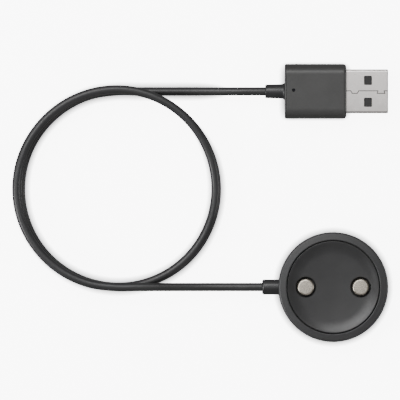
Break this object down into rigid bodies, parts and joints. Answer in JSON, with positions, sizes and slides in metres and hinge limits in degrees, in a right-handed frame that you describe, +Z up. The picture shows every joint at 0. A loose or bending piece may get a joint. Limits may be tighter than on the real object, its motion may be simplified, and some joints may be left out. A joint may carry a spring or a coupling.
{
  "type": "magnetic watch charging cable",
  "caption": "Round magnetic charging dock with a concave dish and sprung contacts, on a thin coiled lead with a USB-A plug.",
  "frame": {"origin": "centre of the round dock on the surface that it lies on", "axes": "+Z up out of the dish, +X from the dock's lead towards its far edge and out of the plug, +Y from the dock towards the plug"},
  "size_m": [0.1028, 0.076, 0.008],
  "materials": {
    "housing": "fine moulded texture",
    "dish": "satin",
    "base": "fine moulded texture",
    "foot": "matt",
    "contact_plating": "satin nickel plating with a fine grain",
    "magnet": "nickel plated",
    "spring_wire": "gold plated wire",
    "gold_plating": "gold plated",
    "circuit_board": "green solder mask on glass fibre board",
    "chip": "black moulded packages",
    "lead_red": "insulated wire",
    "lead_black": "insulated wire",
    "solder": "soft solder",
    "boot": "satin elastomer",
    "jacket": "satin elastomer jacket",
    "cover": "fine moulded texture",
    "shell_steel": "nickel plated sheet steel",
    "tongue": "black moulded insulator",
    "led": "clear moulded package",
    "led_lens": "dark tinted lens"
  },
  "bodies": {
    "charger": {"dock_housing": "housing", "dock_dish": "dish", "dock_base": "base", "foot_ring": "foot", "contact_spring_left": "spring_wire", "contact_spring_right": "spring_wire", "spring_terminal_left": "gold_plating", "spring_terminal_right": "gold_plating", "dock_circuit_board": "circuit_board", "dock_board_parts": "chip", "dock_lead_positive": "lead_red", "dock_lead_negative": "lead_black", "dock_solder_joints": "solder", "dock_strain_relief": "boot", "cord": "jacket", "plug_strain_relief": "boot", "plug_upper_cover": "cover", "plug_lower_cover": "cover", "usb_shell": "shell_steel", "usb_tongue": "tongue", "usb_contact_power": "gold_plating", "usb_contact_data_minus": "gold_plating", "usb_contact_data_plus": "gold_plating", "usb_contact_ground": "gold_plating", "plug_circuit_board": "circuit_board", "plug_board_parts": "chip", "status_led": "led", "led_window": "led_lens", "plug_lead_positive": "lead_red", "plug_lead_negative": "lead_black", "plug_solder_joints": "solder"},
    "contact_left": {"contact_cap_left": "contact_plating", "contact_magnet_left": "magnet"},
    "contact_right": {"contact_cap_right": "contact_plating", "contact_magnet_right": "magnet"}
  },
  "joints": [
    {"name": "contact_left_press", "type": "slide", "parent": "charger", "child": "contact_left", "axis": [0, 0, 1], "range_m": [-0.0006, 0], "stiffness_N_per_m": 500, "springref_m": 0.0004, "deforming": ["contact_spring_left"]},
    {"name": "contact_right_press", "type": "slide", "parent": "charger", "child": "contact_right", "axis": [0, 0, 1], "range_m": [-0.0006, 0], "stiffness_N_per_m": 500, "springref_m": 0.0004, "deforming": ["contact_spring_right"]}
  ]
}
